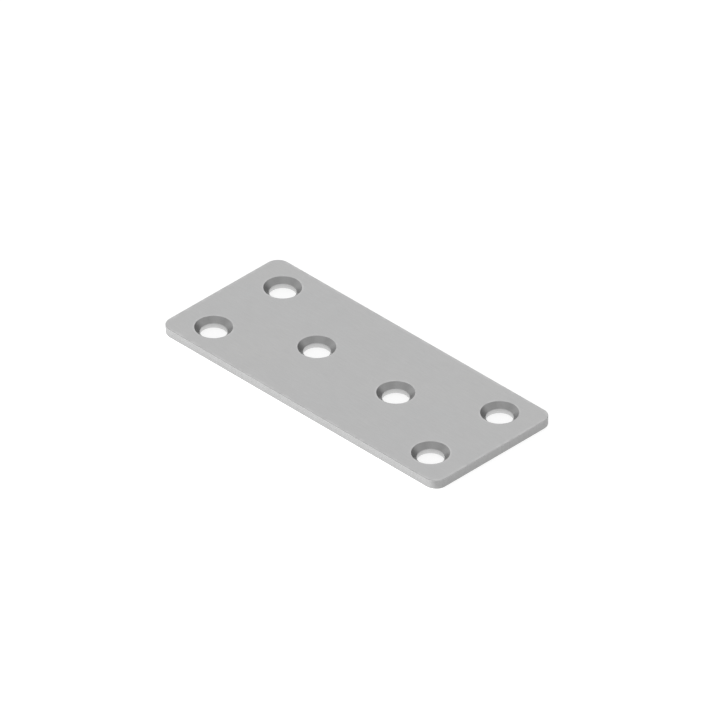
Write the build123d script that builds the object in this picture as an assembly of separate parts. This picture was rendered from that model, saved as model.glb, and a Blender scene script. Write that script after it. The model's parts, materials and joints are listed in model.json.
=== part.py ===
from build123d import *
import math
import os

# Extrusion joining plate
# -----------------------
# A flat splice plate that ties two aluminium framing extrusions together, end to end or
# side by side. It is one blank of 2 mm sheet steel with rounded corners and six
# countersunk screw holes: a pair across each end and a pair on the lengthwise centreline.
#
# Units: millimetres.
# Frame: +X along the length, +Y across the width, +Z up through the thickness, towards
# the face that the countersinks open on.
# Origin: centre of the underside, the face that lies on the extrusions.

# ---- blank -------------------------------------------------------------------------
LENGTH = 70.0            # along X
WIDTH = 30.0             # along Y
THICKNESS = 2.0          # along Z
CORNER_R = 2.5           # plan radius of the four corners
EDGE_BREAK = 0.10        # radius left on the upper outer edge by tumble deburring
FOOT_BREAK = 0.30        # 45 degree chamfer that takes the burr off the lower outer edge

# ---- hole pattern ------------------------------------------------------------------
END_SPACING_X = 55.0     # between the two end pairs, along the length
END_SPACING_Y = 17.5     # within an end pair, across the width
MID_SPACING_X = 20.0     # between the two holes on the centreline

# ---- one hole, in section ----------------------------------------------------------
BORE_D = 5.0             # through hole
SINK_D = 7.0             # countersink diameter at the top face
SINK_ANGLE = 90.0        # included angle of the countersink
HOLE_BREAK = 0.10        # chamfer on the bore's lower rim

bore_r = BORE_D / 2
sink_r = SINK_D / 2
sink_depth = (sink_r - bore_r) / math.tan(math.radians(SINK_ANGLE / 2))
land = THICKNESS - sink_depth          # cylindrical wall left below the countersink

hole_centres = [
    (sx * END_SPACING_X / 2, sy * END_SPACING_Y / 2) for sx in (-1, 1) for sy in (-1, 1)
] + [(sx * MID_SPACING_X / 2, 0.0) for sx in (-1, 1)]

# ---- blank: rounded rectangle, extruded, rounded above and chamfered below -------------
outline = RectangleRounded(LENGTH, WIDTH, CORNER_R)
blank = extrude(outline, amount=THICKNESS)
blank = fillet(blank.edges().filter_by_position(Axis.Z, THICKNESS, THICKNESS), EDGE_BREAK)
blank = chamfer(blank.edges().filter_by_position(Axis.Z, 0, 0), FOOT_BREAK)

# ---- cutter for one hole: half section in the XZ plane, turned about Z ----------------
over = 0.5                              # run past each face, so the cut is clean
slope = math.tan(math.radians(SINK_ANGLE / 2))
half_section = Polyline(
    (0, 0, -over),
    (bore_r + HOLE_BREAK + over, 0, -over),
    (bore_r, 0, HOLE_BREAK),
    (bore_r, 0, land),
    (sink_r + over * slope, 0, THICKNESS + over),
    (0, 0, THICKNESS + over),
    close=True,
)
cutter = revolve(make_face(half_section), Axis.Z, 360)

plate = blank
for x, y in hole_centres:
    plate = plate - Pos(x, y, 0) * cutter

joining_plate = plate.solid() if len(plate.solids()) == 1 else plate
joining_plate.label = "joining_plate"

# ---- checks printed for the bench -----------------------------------------------------
box = joining_plate.bounding_box()
print("size", round(box.size.X, 4), round(box.size.Y, 4), round(box.size.Z, 4))
print("volume mm3", round(joining_plate.volume, 3), "land mm", round(land, 3))
print(
    "smallest wall, hole rim to long edge mm",
    round(WIDTH / 2 - END_SPACING_Y / 2 - sink_r, 3),
    "to short edge mm",
    round(LENGTH / 2 - END_SPACING_X / 2 - sink_r, 3),
)

os.makedirs("parts", exist_ok=True)
export_step(joining_plate, "parts/joining_plate.step")
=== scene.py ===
import json
import math

import bpy
import numpy as np
from mathutils import Matrix, Vector
from mathutils.geometry import delaunay_2d_cdt


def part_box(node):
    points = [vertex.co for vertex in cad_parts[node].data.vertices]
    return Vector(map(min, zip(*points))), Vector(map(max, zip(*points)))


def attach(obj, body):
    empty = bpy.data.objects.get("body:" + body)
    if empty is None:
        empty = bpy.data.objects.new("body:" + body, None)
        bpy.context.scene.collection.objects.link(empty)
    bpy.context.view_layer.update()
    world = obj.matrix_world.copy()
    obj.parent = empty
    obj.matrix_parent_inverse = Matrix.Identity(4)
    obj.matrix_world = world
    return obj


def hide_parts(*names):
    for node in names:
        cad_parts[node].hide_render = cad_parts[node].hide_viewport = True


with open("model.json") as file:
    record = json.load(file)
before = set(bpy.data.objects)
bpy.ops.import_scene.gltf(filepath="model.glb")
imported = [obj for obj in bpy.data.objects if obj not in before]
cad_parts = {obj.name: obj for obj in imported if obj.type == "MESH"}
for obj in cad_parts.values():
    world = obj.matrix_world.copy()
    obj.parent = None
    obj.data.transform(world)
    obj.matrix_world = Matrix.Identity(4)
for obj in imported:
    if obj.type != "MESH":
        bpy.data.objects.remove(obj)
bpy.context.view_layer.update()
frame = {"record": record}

MM = 0.001

# =====================================================================================
# What the frame says: outer size, hole centres and bore radius
# =====================================================================================
lo, hi = (Vector(v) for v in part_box("joining_plate"))
HALF_X, HALF_Y = (hi.x - lo.x) / 2 / MM, (hi.y - lo.y) / 2 / MM
THICK = (hi.z - lo.z) / MM
bores = [m for m in frame["record"]["mounts"] if m["kind"] == "bore"]
HOLES = sorted((m["pos_m"][0] / MM, m["pos_m"][1] / MM) for m in bores)
BORE_R = bores[0]["dims"]["r_mm"]
SINK_R = BORE_R + 1.0        # 90 degree countersink, 1 mm deep
CORNER_R = 2.5               # plan radius of the corners
EDGE_R = 0.10                # tumbled upper outer edge
FOOT_C = 0.30                # 45 degree chamfer on the lower outer edge
FOOT_T = 0.04                # tangent length of the tiny rounds at the chamfer's two ends
RIM_T = 0.045                # the same, at the countersink's two rims
FOOT_R = 0.10                # round on the bore's lower rim
END_X = max(x for x, y in HOLES)
END_Y = max(y for x, y in HOLES)
MID_X = min(x for x, y in HOLES if x > 0)


# =====================================================================================
# Mesh: rounded plate with six countersunk holes, in millimetres until the last step
# =====================================================================================
def hash01(*k):
    """A repeatable number from 0 to 1."""
    x = math.sin(sum(a * b for a, b in zip(k, (12.9898, 78.233, 37.719)))) * 43758.5453
    return x - math.floor(x)


def soft_noise(s, period, seed):
    """Smooth noise along a closed line, from -1 to 1. period is a whole number of cells round the loop."""
    i = math.floor(s)
    f = s - i
    f = f * f * (3 - 2 * f)
    a, b = hash01(i % period, seed), hash01((i + 1) % period, seed)
    return (a + (b - a) * f) * 2 - 1


def outline(inset, straight, arc):
    """Points of the rounded rectangle, inset from the edge, anticlockwise from the +X side's middle. Returns (x, y, nx, ny, s)."""
    r = CORNER_R
    pts = []
    s = 0.0
    # quarter by quarter: half the side before each corner, the corner, and the half side after it
    corners = [(1, 1), (-1, 1), (-1, -1), (1, -1)]
    side_len = [2 * (HALF_Y - r), 2 * (HALF_X - r)]
    for q, (sx, sy) in enumerate(corners):
        a0 = q * math.pi / 2
        n0 = (math.cos(a0), math.sin(a0))
        t0 = (-n0[1], n0[0])
        ln = side_len[q % 2]
        base = HALF_X if q % 2 == 0 else HALF_Y
        n = straight[q % 2]
        for k in range(n):
            u = -ln / 2 + ln * k / n
            x = n0[0] * (base - inset) + t0[0] * u
            y = n0[1] * (base - inset) + t0[1] * u
            pts.append((x, y, n0[0], n0[1], s + ln * k / n))
        s += ln
        cx, cy = sx * (HALF_X - r), sy * (HALF_Y - r)
        for k in range(arc):
            a = a0 + (math.pi / 2) * k / arc
            nx, ny = math.cos(a), math.sin(a)
            pts.append((cx + nx * (r - inset), cy + ny * (r - inset), nx, ny, s + r * math.pi / 2 * k / arc))
        s += r * math.pi / 2
    return pts, s


verts, normals, faces, uvs, mats = [], [], [], [], []
FACE, WALL, SINK, BORE = 0, 1, 2, 3


def add_vert(x, y, z, n):
    verts.append((x, y, z))
    normals.append(n)
    return len(verts) - 1


def add_face(ids, uv, mat):
    faces.append(tuple(ids))
    uvs.append(tuple(uv))
    mats.append(mat)


# ---- the bake's map: one sheet, 1024 wide, at one scale for every region -------------------
PX = 13.9                    # map pixels per millimetre
SIZE = 1024.0
GAP = 7.0
top_v0 = GAP
bottom_v0 = top_v0 + 2 * HALF_Y * PX + GAP


def uv_top(x, y):
    return ((GAP + (x + HALF_X) * PX) / SIZE, (top_v0 + (y + HALF_Y) * PX) / SIZE)


def uv_bottom(x, y):
    return ((GAP + (HALF_X - x) * PX) / SIZE, (bottom_v0 + (y + HALF_Y) * PX) / SIZE)


wall_v0 = bottom_v0 + 2 * HALF_Y * PX + GAP

# ---- outer wall: top round, wall with its sheared band, chamfer -----------------------------
STRAIGHT, ARC = (125, 325), 22
ring0, PERIM = outline(0.0, STRAIGHT, ARC)
NP = len(ring0)

rows = []                    # (inset, z, outward part of the normal, upward part)
ROUND_N = 5
for k in range(ROUND_N + 1):                   # face to wall
    a = math.pi / 2 * k / ROUND_N
    rows.append((EDGE_R * (1 - math.sin(a)), THICK - EDGE_R * (1 - math.cos(a)), math.sin(a), math.cos(a)))
foot_r = FOOT_T / math.tan(math.pi / 8)        # radius of a round with that tangent length over 45 degrees
wall_end = FOOT_C + FOOT_T
WALL_N = 9
for k in range(1, WALL_N + 1):
    rows.append((0.0, THICK - EDGE_R - (THICK - EDGE_R - wall_end) * k / WALL_N, 1.0, 0.0))
for k in range(1, 4):                          # wall to chamfer
    a = math.pi / 4 * k / 3
    rows.append((foot_r * (1 - math.cos(a)), wall_end - foot_r * math.sin(a), math.cos(a), -math.sin(a)))
for k in range(4):                             # chamfer to underside
    a = math.pi / 4 * (1 + k / 3)
    rows.append((wall_end - foot_r * math.cos(a), foot_r * (1 - math.sin(a)), math.cos(a), -math.sin(a)))


def shear_relief(s, z):
    """How far the cut edge stands back from the true outline, in mm: nil on the smooth upper band, then a torn lower band."""
    band = 1.18 + 0.10 * soft_noise(s / PERIM * 90, 90, 3.0) + 0.05 * soft_noise(s / PERIM * 310, 310, 9.0)
    t = min(max((band - z) / 0.22, 0.0), 1.0)
    t = t * t * (3 - 2 * t)
    fine = 0.5 + 0.5 * soft_noise(s / PERIM * 560, 560, 5.0 + math.floor(z * 3))
    return t * (0.016 + 0.010 * fine)


wall = []
row_len = [0.0]
for a, b in zip(rows, rows[1:]):
    row_len.append(row_len[-1] + math.hypot(b[0] - a[0], b[1] - a[1]))
for inset, z, out, up in rows:
    line = []
    for x, y, nx, ny, s in ring0:
        d = inset + shear_relief(s, max(z, wall_end)) * min(1.0, z / wall_end)
        line.append(add_vert(x - nx * d, y - ny * d, z, (nx * out, ny * out, up)))
    wall.append(line)
wall_top, wall_bottom = wall[0], wall[-1]

STRIPS = 3
per_strip = NP // STRIPS
strip_h = row_len[-1] * PX + GAP
for j in range(len(rows) - 1):
    for i in range(NP):
        i2 = (i + 1) % NP
        strip = min(i // per_strip, STRIPS - 1)
        s0 = ring0[i][4]
        s1 = ring0[i2][4] if i2 else PERIM
        start = ring0[strip * per_strip][4]
        v0 = wall_v0 + strip * strip_h

        def uv(s, jj):
            return ((GAP + (s - start) * PX) / SIZE, (v0 + row_len[jj] * PX) / SIZE)

        add_face(
            (wall[j][i], wall[j + 1][i], wall[j + 1][i2], wall[j][i2]),
            (uv(s0, j), uv(s0, j + 1), uv(s1, j + 1), uv(s1, j)),
            WALL,
        )

# ---- holes: rim round, cone, lower rim round, bore, foot round ------------------------------
SEG = 96
C = math.sqrt(0.5)
rim_r = RIM_T / math.tan(math.pi / 8)
profile = []                                   # (radius, z, inward part of the normal, upward part)
N_RIM = 3
for k in range(N_RIM + 1):                     # face to cone
    a = math.pi / 4 * k / N_RIM
    profile.append((SINK_R + RIM_T - rim_r * math.sin(a), THICK - rim_r * (1 - math.cos(a)), math.sin(a), math.cos(a)))
cone_top = profile[-1]
cone_end = (BORE_R + RIM_T * C, THICK - (SINK_R - BORE_R) + RIM_T * C)
N_CONE = 6
for k in range(1, N_CONE + 1):
    f = k / N_CONE
    profile.append((cone_top[0] + (cone_end[0] - cone_top[0]) * f, cone_top[1] + (cone_end[1] - cone_top[1]) * f, C, C))
for k in range(1, N_RIM + 1):                  # cone to bore
    a = math.pi / 4 + math.pi / 4 * k / N_RIM
    profile.append((BORE_R + rim_r * (1 - math.sin(a)), THICK - (SINK_R - BORE_R) - RIM_T + rim_r * math.cos(a), math.sin(a), math.cos(a)))
sink_rows = len(profile) - 1                   # rows down to here are laid out with the top face
bore_top, bore_end = profile[-1][1], FOOT_R
N_BORE = 4
for k in range(1, N_BORE + 1):
    profile.append((BORE_R, bore_top + (bore_end - bore_top) * k / N_BORE, 1.0, 0.0))
for k in range(1, 5):                          # bore to underside
    a = math.pi / 2 * (1 - k / 4)
    profile.append((BORE_R + FOOT_R * (1 - math.sin(a)), FOOT_R * (1 - math.cos(a)), math.sin(a), -math.cos(a)))

bore_v0 = wall_v0 + STRIPS * strip_h
bore_len = [0.0]
for a, b in zip(profile[sink_rows:], profile[sink_rows + 1:]):
    bore_len.append(bore_len[-1] + math.hypot(b[0] - a[0], b[1] - a[1]))
hole_tops, hole_feet = [], []
for h, (hx, hy) in enumerate(HOLES):
    grid = []
    for r, z, inn, up in profile:
        ring = []
        for i in range(SEG):
            a = 2 * math.pi * i / SEG
            ca, sa = math.cos(a), math.sin(a)
            ring.append(add_vert(hx + r * ca, hy + r * sa, z, (-ca * inn, -sa * inn, up)))
        grid.append(ring)
    hole_tops.append(grid[0])
    hole_feet.append(grid[-1])
    col, rowi = h % 4, h // 4
    u0 = GAP + col * (2 * math.pi * BORE_R * PX + GAP)
    v0 = bore_v0 + rowi * (bore_len[-1] * PX + GAP)
    for j in range(len(profile) - 1):
        on_top = j < sink_rows
        for i in range(SEG):
            i2 = (i + 1) % SEG
            ids = (grid[j][i], grid[j][i2], grid[j + 1][i2], grid[j + 1][i])
            if on_top:
                uv4 = [uv_top(verts[k][0], verts[k][1]) for k in ids]
            else:
                jj = j - sink_rows
                ua = (u0 + 2 * math.pi * BORE_R * PX * i / SEG) / SIZE
                ub = (u0 + 2 * math.pi * BORE_R * PX * (i + 1) / SEG) / SIZE
                va, vb = (v0 + bore_len[jj] * PX) / SIZE, (v0 + bore_len[jj + 1] * PX) / SIZE
                uv4 = [(ua, va), (ub, va), (ub, vb), (ua, vb)]
            add_face(ids, uv4, SINK if on_top else BORE)


# ---- the two flat faces: rings round each hole, a band inside the edge, and an even net between
def flat_face(z, up, edge_in, edge_loop, hole_loops, uv_of, mat):
    n = (0.0, 0.0, up)
    inner_loops = []
    start_r = math.hypot(verts[hole_loops[0][0]][0] - HOLES[0][0], verts[hole_loops[0][0]][1] - HOLES[0][1])
    for (hx, hy), loop in zip(HOLES, hole_loops):
        last = loop
        for r in (start_r + 0.12, start_r + 0.34, start_r + 0.72):
            ring = [add_vert(hx + r * math.cos(2 * math.pi * i / SEG), hy + r * math.sin(2 * math.pi * i / SEG), z, n) for i in range(SEG)]
            for i in range(SEG):
                i2 = (i + 1) % SEG
                ids = (last[i], ring[i], ring[i2], last[i2]) if up > 0 else (last[i], last[i2], ring[i2], ring[i])
                add_face(ids, [uv_of(verts[k][0], verts[k][1]) for k in ids], mat)
            last = ring
        inner_loops.append(last)
    last = edge_loop
    for d in (edge_in + 0.14, edge_in + 0.42, edge_in + 0.9):
        ring = [add_vert(x - nx * d, y - ny * d, z, n) for x, y, nx, ny, s in ring0]
        for i in range(NP):
            i2 = (i + 1) % NP
            ids = (last[i], last[i2], ring[i2], ring[i]) if up > 0 else (last[i], ring[i], ring[i2], last[i2])
            add_face(ids, [uv_of(verts[k][0], verts[k][1]) for k in ids], mat)
        last = ring
    loops = [last] + inner_loops
    pts, own, edges = [], [], []
    ring_no = {}                                   # which hole's ring a vertex is on
    for number, loop in enumerate(loops):
        first = len(pts)
        for k in loop:
            pts.append(Vector(verts[k][:2]))
            own.append(k)
            if number:
                ring_no[k] = number
        edges += [(first + i, first + (i + 1) % len(loop)) for i in range(len(loop))]
    step = 1.0
    nx_, ny_ = int(HALF_X * 2 / step), int(HALF_Y * 2 / step)
    for a in range(nx_ + 1):
        for b in range(ny_ + 1):
            x = -HALF_X + a * step + (0.5 * step if b % 2 else 0.0)
            y = -HALF_Y + b * step
            # signed distance to the rounded outline
            qx, qy = abs(x) - (HALF_X - CORNER_R), abs(y) - (HALF_Y - CORNER_R)
            d = math.hypot(max(qx, 0), max(qy, 0)) + min(max(qx, qy), 0) - CORNER_R
            if d > -(edge_in + 0.9 + 0.55):
                continue
            if min(math.hypot(x - hx, y - hy) for hx, hy in HOLES) < start_r + 0.72 + 0.45:
                continue
            pts.append(Vector((x, y)))
            own.append(add_vert(x, y, z, n))
    out_v, out_e, out_f, ov, oe, of_ = delaunay_2d_cdt(pts, edges, [], 0, 1e-6)
    # output points map back to the input ones
    back = [own[src[0]] if src else None for src in ov]
    for f in out_f:
        ids = [back[k] for k in f]
        if ring_no.get(ids[0]) and len({ring_no.get(k) for k in ids}) == 1:
            continue                               # all its corners are on one ring, so it lies in that hole
        area = sum(
            verts[ids[i]][0] * verts[ids[(i + 1) % len(ids)]][1] - verts[ids[(i + 1) % len(ids)]][0] * verts[ids[i]][1]
            for i in range(len(ids))
        )
        if (area > 0) != (up > 0):
            ids.reverse()
        add_face(ids, [uv_of(verts[k][0], verts[k][1]) for k in ids], mat)


flat_face(THICK, 1.0, EDGE_R, wall_top, hole_tops, uv_top, FACE)
flat_face(0.0, -1.0, wall_end, wall_bottom, hole_feet, uv_bottom, FACE)

mesh = bpy.data.meshes.new("plate")
centre = Vector(((lo.x + hi.x) / 2, (lo.y + hi.y) / 2, lo.z))
mesh.from_pydata([(centre.x + x * MM, centre.y + y * MM, centre.z + z * MM) for x, y, z in verts], [], faces)
mesh.polygons.foreach_set("material_index", mats)
mesh.polygons.foreach_set("use_smooth", [True] * len(faces))
layer = mesh.uv_layers.new(name="OFBake")
layer.data.foreach_set("uv", [c for f in uvs for p in f for c in p])
mesh.update()
mesh.validate()

# normals: exact on the flats, cones, bores and rounds; as the mesh lies on the cut edge
given = np.array(normals, float)
given /= np.linalg.norm(given, axis=1, keepdims=True)
found = np.empty(len(mesh.vertices) * 3, np.float32)
mesh.vertices.foreach_get("normal", found)
found = found.reshape(-1, 3).astype(float)
n_wall = len(rows) * NP
is_cut = np.zeros(len(given), bool)
for j, (inset, z, out, up) in enumerate(rows):
    if wall_end + 1e-6 < z < THICK - EDGE_R - 1e-6:
        is_cut[j * NP:(j + 1) * NP] = True
given[is_cut] = found[is_cut]
mesh.normals_split_custom_set_from_vertices([tuple(v) for v in given])

plate = bpy.data.objects.new("plate", mesh)
bpy.context.scene.collection.objects.link(plate)
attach(plate, "root")
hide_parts("joining_plate")


# =====================================================================================
# Materials: satin zinc-plated sheet steel
# =====================================================================================
class Tree:
    """Short names for building a shader from nodes."""

    def __init__(self, name):
        self.mat = bpy.data.materials.new(name)
        self.mat.use_nodes = True
        self.nt = self.mat.node_tree
        self.nt.nodes.clear()
        self.out = self.nt.nodes.new("ShaderNodeOutputMaterial")
        self.x = 0

    def new(self, kind, **props):
        n = self.nt.nodes.new(kind)
        self.x += 40
        n.location = (self.x, 0)
        for k, v in props.items():
            setattr(n, k, v)
        return n

    def put(self, socket, value):
        if isinstance(value, bpy.types.NodeSocket):
            self.nt.links.new(value, socket)
        else:
            socket.default_value = value

    def math(self, op, a, b=None, c=None, clamp=False):
        n = self.new("ShaderNodeMath", operation=op, use_clamp=clamp)
        for s, v in zip(n.inputs, (a, b, c)):
            if v is not None:
                self.put(s, v)
        return n.outputs[0]

    def vec(self, op, a, b=None):
        n = self.new("ShaderNodeVectorMath", operation=op)
        self.put(n.inputs[0], a)
        if b is not None:
            if op == "SCALE":
                self.put(n.inputs["Scale"], b)
            else:
                self.put(n.inputs[1], b)
        return n.outputs["Value"] if op in ("LENGTH", "DOT_PRODUCT", "DISTANCE") else n.outputs["Vector"]

    def split(self, v):
        n = self.new("ShaderNodeSeparateXYZ")
        self.put(n.inputs[0], v)
        return n.outputs[0], n.outputs[1], n.outputs[2]

    def join(self, x, y, z):
        n = self.new("ShaderNodeCombineXYZ")
        for s, v in zip(n.inputs, (x, y, z)):
            self.put(s, v)
        return n.outputs[0]

    def noise(self, vector, scale, detail=2.0, rough=0.5, distort=0.0):
        n = self.new("ShaderNodeTexNoise", noise_dimensions="3D")
        self.put(n.inputs["Vector"], vector)
        n.inputs["Scale"].default_value = scale
        n.inputs["Detail"].default_value = detail
        n.inputs["Roughness"].default_value = rough
        n.inputs["Distortion"].default_value = distort
        return n.outputs["Fac"]

    def ramp(self, value, a, b, c=0.0, d=1.0, smooth=True):
        n = self.new("ShaderNodeMapRange", interpolation_type="SMOOTHSTEP" if smooth else "LINEAR")
        self.put(n.inputs["Value"], value)
        for k, v in zip(("From Min", "From Max", "To Min", "To Max"), (a, b, c, d)):
            self.put(n.inputs[k], v)
        return n.outputs["Result"]

    def swing(self, value, amount):
        """Noise about 0.5 turned into a swing of about plus or minus amount."""
        return self.math("MULTIPLY", self.math("SUBTRACT", value, 0.5), amount * 2.0)

    def sum(self, *terms):
        total = terms[0]
        for t in terms[1:]:
            total = self.math("ADD", total, t)
        return total

    def grey(self, value, tint):
        """A near-neutral colour: value in every channel, with a slight cool or warm lean."""
        n = self.new("ShaderNodeCombineColor", mode="RGB")
        self.put(n.inputs[0], self.math("MULTIPLY", value, self.math("SUBTRACT", 1.0, tint)))
        self.put(n.inputs[1], value)
        self.put(n.inputs[2], self.math("MULTIPLY", value, self.math("ADD", 1.0, tint)))
        return n.outputs[0]

    def place(self):
        """The piece's own coordinates, in millimetres."""
        t = self.new("ShaderNodeTexCoord")
        return self.vec("SCALE", t.outputs["Object"], 1000.0)

    def finish(self, colour, rough, height, distance, metallic=1.0):
        p = self.new("ShaderNodeBsdfPrincipled")
        self.put(p.inputs["Base Color"], colour)
        self.put(p.inputs["Roughness"], rough)
        p.inputs["Metallic"].default_value = metallic
        b = self.new("ShaderNodeBump")
        b.inputs["Strength"].default_value = 1.0
        b.inputs["Distance"].default_value = distance
        self.put(b.inputs["Height"], height)
        self.put(p.inputs["Normal"], b.outputs["Normal"])
        self.nt.links.new(p.outputs[0], self.out.inputs["Surface"])
        return self.mat


def hole_distance(t, x, y):
    """Distance from the nearest hole's axis, in mm, by folding the pattern onto one quarter."""
    ax, ay = t.math("ABSOLUTE", x), t.math("ABSOLUTE", y)
    d_end = t.vec("LENGTH", t.join(t.math("SUBTRACT", ax, END_X), t.math("SUBTRACT", ay, END_Y), 0.0))
    d_mid = t.vec("LENGTH", t.join(t.math("SUBTRACT", ax, MID_X), ay, 0.0))
    return t.math("MINIMUM", d_end, d_mid)


def edge_distance(t, x, y):
    """Distance inside the rounded outline, in mm."""
    qx = t.math("SUBTRACT", t.math("ABSOLUTE", x), HALF_X - CORNER_R)
    qy = t.math("SUBTRACT", t.math("ABSOLUTE", y), HALF_Y - CORNER_R)
    outside = t.vec("LENGTH", t.join(t.math("MAXIMUM", qx, 0.0), t.math("MAXIMUM", qy, 0.0), 0.0))
    inside = t.math("MINIMUM", t.math("MAXIMUM", qx, qy), 0.0)
    return t.math("SUBTRACT", CORNER_R, t.math("ADD", outside, inside))


# reflectance and roughness of the rolled face, the cut edge, the turned countersink and the drilled bore
FACE_BASE, FACE_ROUGH = 0.50, 0.43
EDGE_BASE, EDGE_ROUGH = 0.382, 0.50
SINK_BASE, SINK_ROUGH = 0.47, 0.36
BORE_BASE, BORE_ROUGH = 0.58, 0.45


def scratches(t, p, angle, offset):
    """Sparse hairline marks along one direction, from 0 to 1."""
    x, y, z = t.split(t.vec("ADD", p, offset))
    c, d = math.cos(angle), math.sin(angle)
    along = t.math("ADD", t.math("MULTIPLY", x, c), t.math("MULTIPLY", y, d))
    across = t.math("SUBTRACT", t.math("MULTIPLY", y, c), t.math("MULTIPLY", x, d))
    bend = t.math("ADD", across, t.swing(t.noise(t.join(t.math("MULTIPLY", along, 0.10), 0.0, 0.0), 1.0, 0.0), 0.5))
    line = t.noise(t.join(t.math("MULTIPLY", along, 0.035), bend, 0.0), 5.0, 1.0, 0.5)
    where = t.noise(t.vec("ADD", p, offset), 0.16, 1.0, 0.5)
    return t.math("MULTIPLY", t.ramp(line, 0.66, 0.76), t.ramp(where, 0.50, 0.62))


def face_material():
    t = Tree("plated_face")
    p = t.place()
    x, y, z = t.split(p)
    hole = hole_distance(t, x, y)
    edge = edge_distance(t, x, y)
    # rolling lines along the length: fine, finer and broad
    grain = t.noise(t.vec("MULTIPLY", p, (0.10, 1.0, 1.0)), 3.6, 4.0, 0.62)
    fine = t.noise(t.vec("MULTIPLY", p, (0.06, 1.0, 1.0)), 8.5, 2.0, 0.5)
    streak = t.noise(t.vec("MULTIPLY", p, (0.035, 1.0, 1.0)), 1.15, 2.0, 0.5)
    cloud = t.noise(p, 0.085, 3.0, 0.55, 0.6)
    patch = t.noise(t.vec("ADD", p, (31.0, 7.0, 3.0)), 0.33, 2.0, 0.5, 0.3)
    crystal = t.noise(p, 3.1, 2.0, 0.6)
    # plating polished by handling along the outer edge and round each countersink
    rub = t.math("MULTIPLY", t.ramp(edge, 0.12, 0.80, 1.0, 0.0), t.ramp(t.noise(p, 0.55, 3.0), 0.36, 0.66))
    ring = t.math("MULTIPLY", t.ramp(hole, SINK_R + 0.05, SINK_R + 0.45, 1.0, 0.0), t.ramp(t.noise(t.vec("ADD", p, (9.0, 4.0, 0.0)), 0.8, 2.0), 0.34, 0.62))
    worn = t.math("MAXIMUM", rub, ring)
    marks = t.math("MAXIMUM", scratches(t, p, 0.45, (3.0, 11.0, 0.0)), scratches(t, p, -1.05, (17.0, 2.0, 5.0)))
    value = t.sum(
        FACE_BASE,
        t.swing(grain, 0.050),
        t.swing(fine, 0.022),
        t.swing(streak, 0.020),
        t.swing(cloud, 0.026),
        t.swing(patch, 0.012),
        t.swing(crystal, 0.020),
        t.math("MULTIPLY", worn, 0.035),
        t.math("MULTIPLY", marks, 0.020),
    )
    rough = t.sum(
        FACE_ROUGH,
        t.swing(grain, 0.07),
        t.swing(streak, 0.04),
        t.swing(cloud, 0.05),
        t.swing(crystal, 0.04),
        t.math("MULTIPLY", worn, -0.07),
        t.math("MULTIPLY", marks, -0.05),
    )
    height = t.sum(t.swing(grain, 0.5), t.swing(fine, 0.25), t.swing(crystal, 0.22), t.swing(patch, 1.2), t.math("MULTIPLY", marks, -0.3))
    return t.finish(t.grey(value, t.swing(cloud, 0.006)), rough, height, 0.000007)


def wall_material():
    t = Tree("cut_edge")
    p = t.place()
    x, y, z = t.split(p)
    # marks of the cut run straight down the edge
    marks = t.noise(t.vec("MULTIPLY", p, (1.0, 1.0, 0.10)), 4.2, 3.0, 0.6)
    coarse = t.noise(t.vec("MULTIPLY", p, (1.0, 1.0, 0.25)), 1.1, 2.0, 0.5)
    torn = t.noise(p, 5.0, 3.0, 0.65)
    line = t.math("ADD", 1.18, t.swing(coarse, 0.25))
    lower = t.ramp(z, t.math("SUBTRACT", line, 0.12), t.math("ADD", line, 0.10), 1.0, 0.0)
    brow = t.ramp(z, THICK - 0.15, THICK - 0.06, 0.0, 1.0)
    # the chamfer is ground, with short marks along the edge
    foot = t.ramp(z, FOOT_C - 0.02, FOOT_C + 0.05, 1.0, 0.0)
    ground = t.noise(t.vec("MULTIPLY", p, (0.35, 0.35, 3.0)), 3.0, 2.0, 0.5)
    value = t.sum(
        EDGE_BASE,
        t.swing(marks, 0.050),
        t.swing(coarse, 0.022),
        t.math("MULTIPLY", lower, t.math("ADD", 0.006, t.swing(torn, 0.055))),
        t.math("MULTIPLY", brow, FACE_BASE + 0.02 - EDGE_BASE),
        t.math("MULTIPLY", foot, t.math("ADD", 0.03, t.swing(ground, 0.04))),
    )
    rough = t.sum(
        EDGE_ROUGH,
        t.swing(marks, 0.06),
        t.math("MULTIPLY", lower, t.math("ADD", 0.04, t.swing(torn, 0.08))),
        t.math("MULTIPLY", brow, -0.07),
        t.math("MULTIPLY", foot, -0.05),
    )
    height = t.sum(
        t.swing(marks, 0.8),
        t.math("MULTIPLY", lower, t.swing(torn, 1.0)),
        t.math("MULTIPLY", foot, t.swing(ground, 0.5)),
    )
    return t.finish(t.grey(value, t.swing(coarse, 0.005)), rough, height, 0.00001)


def sink_material():
    t = Tree("countersink")
    p = t.place()
    x, y, z = t.split(p)
    hole = hole_distance(t, x, y)
    wander = t.noise(p, 0.9, 2.0, 0.5)
    # rings left by the countersinking tool, about 0.2 mm apart and uneven
    lane = t.math("ADD", t.math("MULTIPLY", hole, 30.0), t.swing(wander, 1.2))
    wave = t.math("SINE", lane)
    uneven = t.noise(t.join(t.math("MULTIPLY", hole, 4.2), 0.0, 0.0), 1.0, 3.0, 0.7)
    rings = t.math("ADD", t.math("MULTIPLY", wave, 0.35), t.swing(uneven, 1.0))
    mottle = t.noise(p, 2.4, 2.0, 0.5)
    # painted highlight: a lighter thin ring at the countersink's rim, which is also made smoother
    rim_polish_and_painted_highlight = t.ramp(hole, SINK_R - 0.10, SINK_R - 0.01, 0.0, 1.0)
    value = t.sum(SINK_BASE, t.math("MULTIPLY", rings, 0.035), t.swing(mottle, 0.030), t.math("MULTIPLY", rim_polish_and_painted_highlight, 0.03))
    rough = t.sum(SINK_ROUGH, t.math("MULTIPLY", rings, 0.04), t.swing(mottle, 0.04), t.math("MULTIPLY", rim_polish_and_painted_highlight, -0.03))
    return t.finish(t.grey(value, t.swing(mottle, 0.004)), rough, rings, 0.000004)


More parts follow.
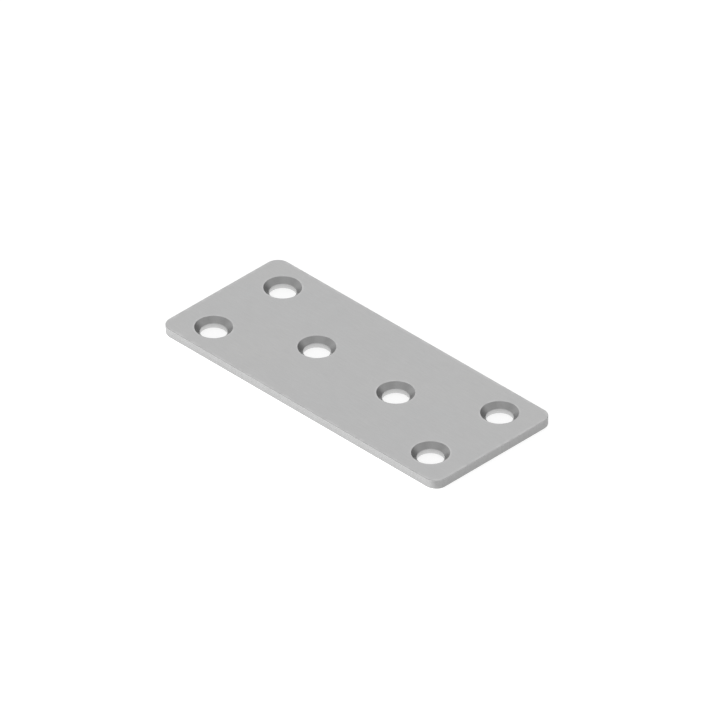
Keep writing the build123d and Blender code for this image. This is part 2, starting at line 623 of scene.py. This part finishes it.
def bore_material():
    t = Tree("bore")
    p = t.place()
    x, y, z = t.split(p)
    drawn = t.noise(t.vec("MULTIPLY", p, (1.0, 1.0, 0.2)), 3.4, 3.0, 0.6)
    lands = t.noise(t.join(0.0, 0.0, t.math("MULTIPLY", z, 6.0)), 1.0, 2.0, 0.6)
    mottle = t.noise(p, 2.0, 2.0, 0.5)
    # painted light and shade: lighter towards the lower rim, a little darker towards the top
    painted_light_low = t.ramp(z, 0.05, 0.95, 0.10, -0.03)
    value = t.sum(BORE_BASE, t.swing(drawn, 0.045), t.swing(lands, 0.030), t.swing(mottle, 0.020), painted_light_low)
    rough = t.sum(BORE_ROUGH, t.swing(drawn, 0.06), t.swing(lands, 0.05))
    height = t.math("ADD", t.swing(drawn, 0.6), t.swing(lands, 0.5))
    return t.finish(t.grey(value, t.swing(mottle, 0.004)), rough, height, 0.000006)


for m in (face_material(), wall_material(), sink_material(), bore_material()):
    mesh.materials.append(m)

# =====================================================================================
# Stage: pale floor, soft light
# =====================================================================================
FLOOR_Z = lo.z - 0.00002


def flat_disc(name, radius, z, rings):
    vs, fs = [(0.0, 0.0, z)], []
    seg = 96
    for k in range(1, rings + 1):
        r = radius * (k / rings) ** 2
        vs += [(r * math.cos(2 * math.pi * i / seg), r * math.sin(2 * math.pi * i / seg), z) for i in range(seg)]
    fs += [(0, 1 + i, 1 + (i + 1) % seg) for i in range(seg)]
    for k in range(rings - 1):
        a, b = 1 + k * seg, 1 + (k + 1) * seg
        fs += [(a + i, b + i, b + (i + 1) % seg, a + (i + 1) % seg) for i in range(seg)]
    me = bpy.data.meshes.new(name)
    me.from_pydata(vs, [], fs)
    me.update()
    ob = bpy.data.objects.new(name, me)
    bpy.context.scene.collection.objects.link(ob)
    return ob


floor = flat_disc("floor", 12.0, FLOOR_Z, 12)
fm = bpy.data.materials.new("pale_floor")
fm.use_nodes = True
fp = fm.node_tree.nodes["Principled BSDF"]
fp.inputs["Base Color"].default_value = (0.42, 0.42, 0.42, 1.0)
fp.inputs["Roughness"].default_value = 0.9
fp.inputs["Specular IOR Level"].default_value = 0.0
fp.inputs["Emission Color"].default_value = (1.0, 1.0, 1.0, 1.0)


def floor_glow(nt):
    """The floor is lit from below, as on a light table: evenly, plus painted light, a brighter pool of glow beside the
    long side that the light comes from, and painted shade, less glow under the plate.
    """

    def ramp(value, a, b, c, d):
        n = nt.nodes.new("ShaderNodeMapRange")
        n.interpolation_type = "SMOOTHSTEP"
        nt.links.new(value, n.inputs["Value"])
        for k, v in zip(("From Min", "From Max", "To Min", "To Max"), (a, b, c, d)):
            n.inputs[k].default_value = v
        return n.outputs["Result"]

    def combine(op, a, b=None):
        n = nt.nodes.new("ShaderNodeMath")
        n.operation = op
        for s, v in zip(n.inputs, (a, b)):
            if isinstance(v, float):
                s.default_value = v
            elif v is not None:
                nt.links.new(v, s)
        return n.outputs[0]

    where = nt.nodes.new("ShaderNodeSeparateXYZ")
    nt.links.new(nt.nodes.new("ShaderNodeTexCoord").outputs["Object"], where.inputs[0])
    x, y = where.outputs[0], where.outputs[1]
    # painted light: extra floor glow in a band beside the -Y long side, for that wall to reflect
    across = combine("MULTIPLY", ramp(y, lo.y + 0.5 * MM, lo.y + 2.5 * MM, 1.0, 0.0), ramp(y, -0.120, -0.040, 0.0, 1.0))
    along = combine("MULTIPLY", ramp(x, -0.100, lo.x - 0.010, 0.0, 1.0), ramp(x, hi.x - 2.0 * MM, hi.x + 1.0 * MM, 1.0, 0.0))
    side = combine("MULTIPLY", combine("MULTIPLY", across, along), PAINTED_LIGHT_SIDE)
    # painted shade: less floor glow under the plate, seen through its holes
    mid_x = ramp(combine("ABSOLUTE", x), hi.x - 2.0 * MM, hi.x - 1.0 * MM, 1.0, 0.0)
    mid_y = ramp(combine("ABSOLUTE", y), hi.y - 2.0 * MM, hi.y - 1.0 * MM, 1.0, 0.0)
    painted_shade_under_mask = combine("MULTIPLY", combine("MULTIPLY", mid_x, mid_y), PAINTED_SHADE_UNDER)
    nt.links.new(combine("ADD", combine("ADD", side, painted_shade_under_mask), GLOW), fp.inputs["Emission Strength"])


# even glow, then painted light beside the long side, then painted shade under the plate
GLOW, PAINTED_LIGHT_SIDE, PAINTED_SHADE_UNDER = 0.79, 0.714, -0.07
floor_glow(fm.node_tree)
floor.data.materials.append(fm)

# soft lights all round: azimuth (0 is the -Y side, 90 the +X side), elevation, tightness, strength
LIGHTS = [
    (0, 12, 9.0, 0.703),
    (45, 12, 9.0, 0.807),
    (90, 12, 9.0, 0.803),
    (135, 12, 9.0, 0.673),
    (225, 12, 9.0, 0.505),
    (270, 12, 9.0, 0.496),
    (315, 12, 9.0, 0.524),
    (0, 42, 9.0, 0.185),
    (45, 42, 9.0, 0.105),
    (135, 42, 9.0, 0.141),
    (225, 42, 9.0, 0.827),
    (270, 42, 9.0, 0.361),
    (0, 90, 7.0, 0.889),
]
AMBIENT = 0.027


def soft_studio(nt):
    nt.nodes.clear()
    out = nt.nodes.new("ShaderNodeOutputWorld")
    sky = nt.nodes.new("ShaderNodeBackground")
    nt.links.new(sky.outputs[0], out.inputs[0])
    way = nt.nodes.new("ShaderNodeTexCoord").outputs["Generated"]

    def math_node(op, a, b=None):
        n = nt.nodes.new("ShaderNodeMath")
        n.operation = op
        for s, v in zip(n.inputs, (a, b)):
            if isinstance(v, float):
                s.default_value = v
            elif v is not None:
                nt.links.new(v, s)
        return n.outputs[0]

    total = None
    for azimuth, elevation, tight, strength in LIGHTS:
        a, e = math.radians(azimuth), math.radians(elevation)
        n = nt.nodes.new("ShaderNodeVectorMath")
        n.operation = "DOT_PRODUCT"
        nt.links.new(way, n.inputs[0])
        n.inputs[1].default_value = (math.sin(a) * math.cos(e), -math.cos(a) * math.cos(e), math.sin(e))
        fall = math_node("EXPONENT", math_node("MULTIPLY", math_node("SUBTRACT", n.outputs["Value"], 1.0), float(tight)))
        part = math_node("MULTIPLY", fall, float(strength))
        total = part if total is None else math_node("ADD", total, part)
    nt.links.new(math_node("ADD", total, AMBIENT), sky.inputs["Strength"])
    sky.inputs["Color"].default_value = (1.0, 1.0, 1.0, 1.0)


world = bpy.data.worlds.new("studio")
bpy.context.scene.world = world
world.use_nodes = True
soft_studio(world.node_tree)

# =====================================================================================
# Camera: isometric view through a very long lens
# =====================================================================================
K = 5.58                     # image pixels per millimetre in a 720-pixel frame
AIM_PX = (356.32, 369.45)      # where the top face's centre falls in that frame
az, el = math.radians(45.0), math.radians(35.2644)
back = Vector((math.sin(az) * math.cos(el), -math.cos(az) * math.cos(el), math.sin(el)))
right = Vector((math.cos(az), math.sin(az), 0.0))
up = back.cross(right)
half = math.radians(0.9)
cam_data = bpy.data.cameras.new("camera")
cam_data.sensor_width = 36.0
cam_data.lens = 18.0 / math.tan(half)
cam_data.dof.use_dof = False
cam = bpy.data.objects.new("camera", cam_data)
aim = Vector(((lo.x + hi.x) / 2, (lo.y + hi.y) / 2, hi.z))
aim += right * ((360 - AIM_PX[0]) / K * MM) + up * ((AIM_PX[1] - 360) / K * MM)
cam.location = aim + back * (360 / K * MM / math.tan(half))
cam.rotation_mode = "QUATERNION"
cam.rotation_quaternion = back.to_track_quat("Z", "Y")
cam_data.clip_start, cam_data.clip_end = 0.1, 40.0
bpy.context.scene.collection.objects.link(cam)
bpy.context.scene.camera = cam

bpy.context.scene.view_settings.view_transform = "Standard"
bpy.context.scene.view_settings.look = "None"
bpy.context.scene.view_settings.exposure = 0.0
bpy.context.scene.view_settings.gamma = 1.0
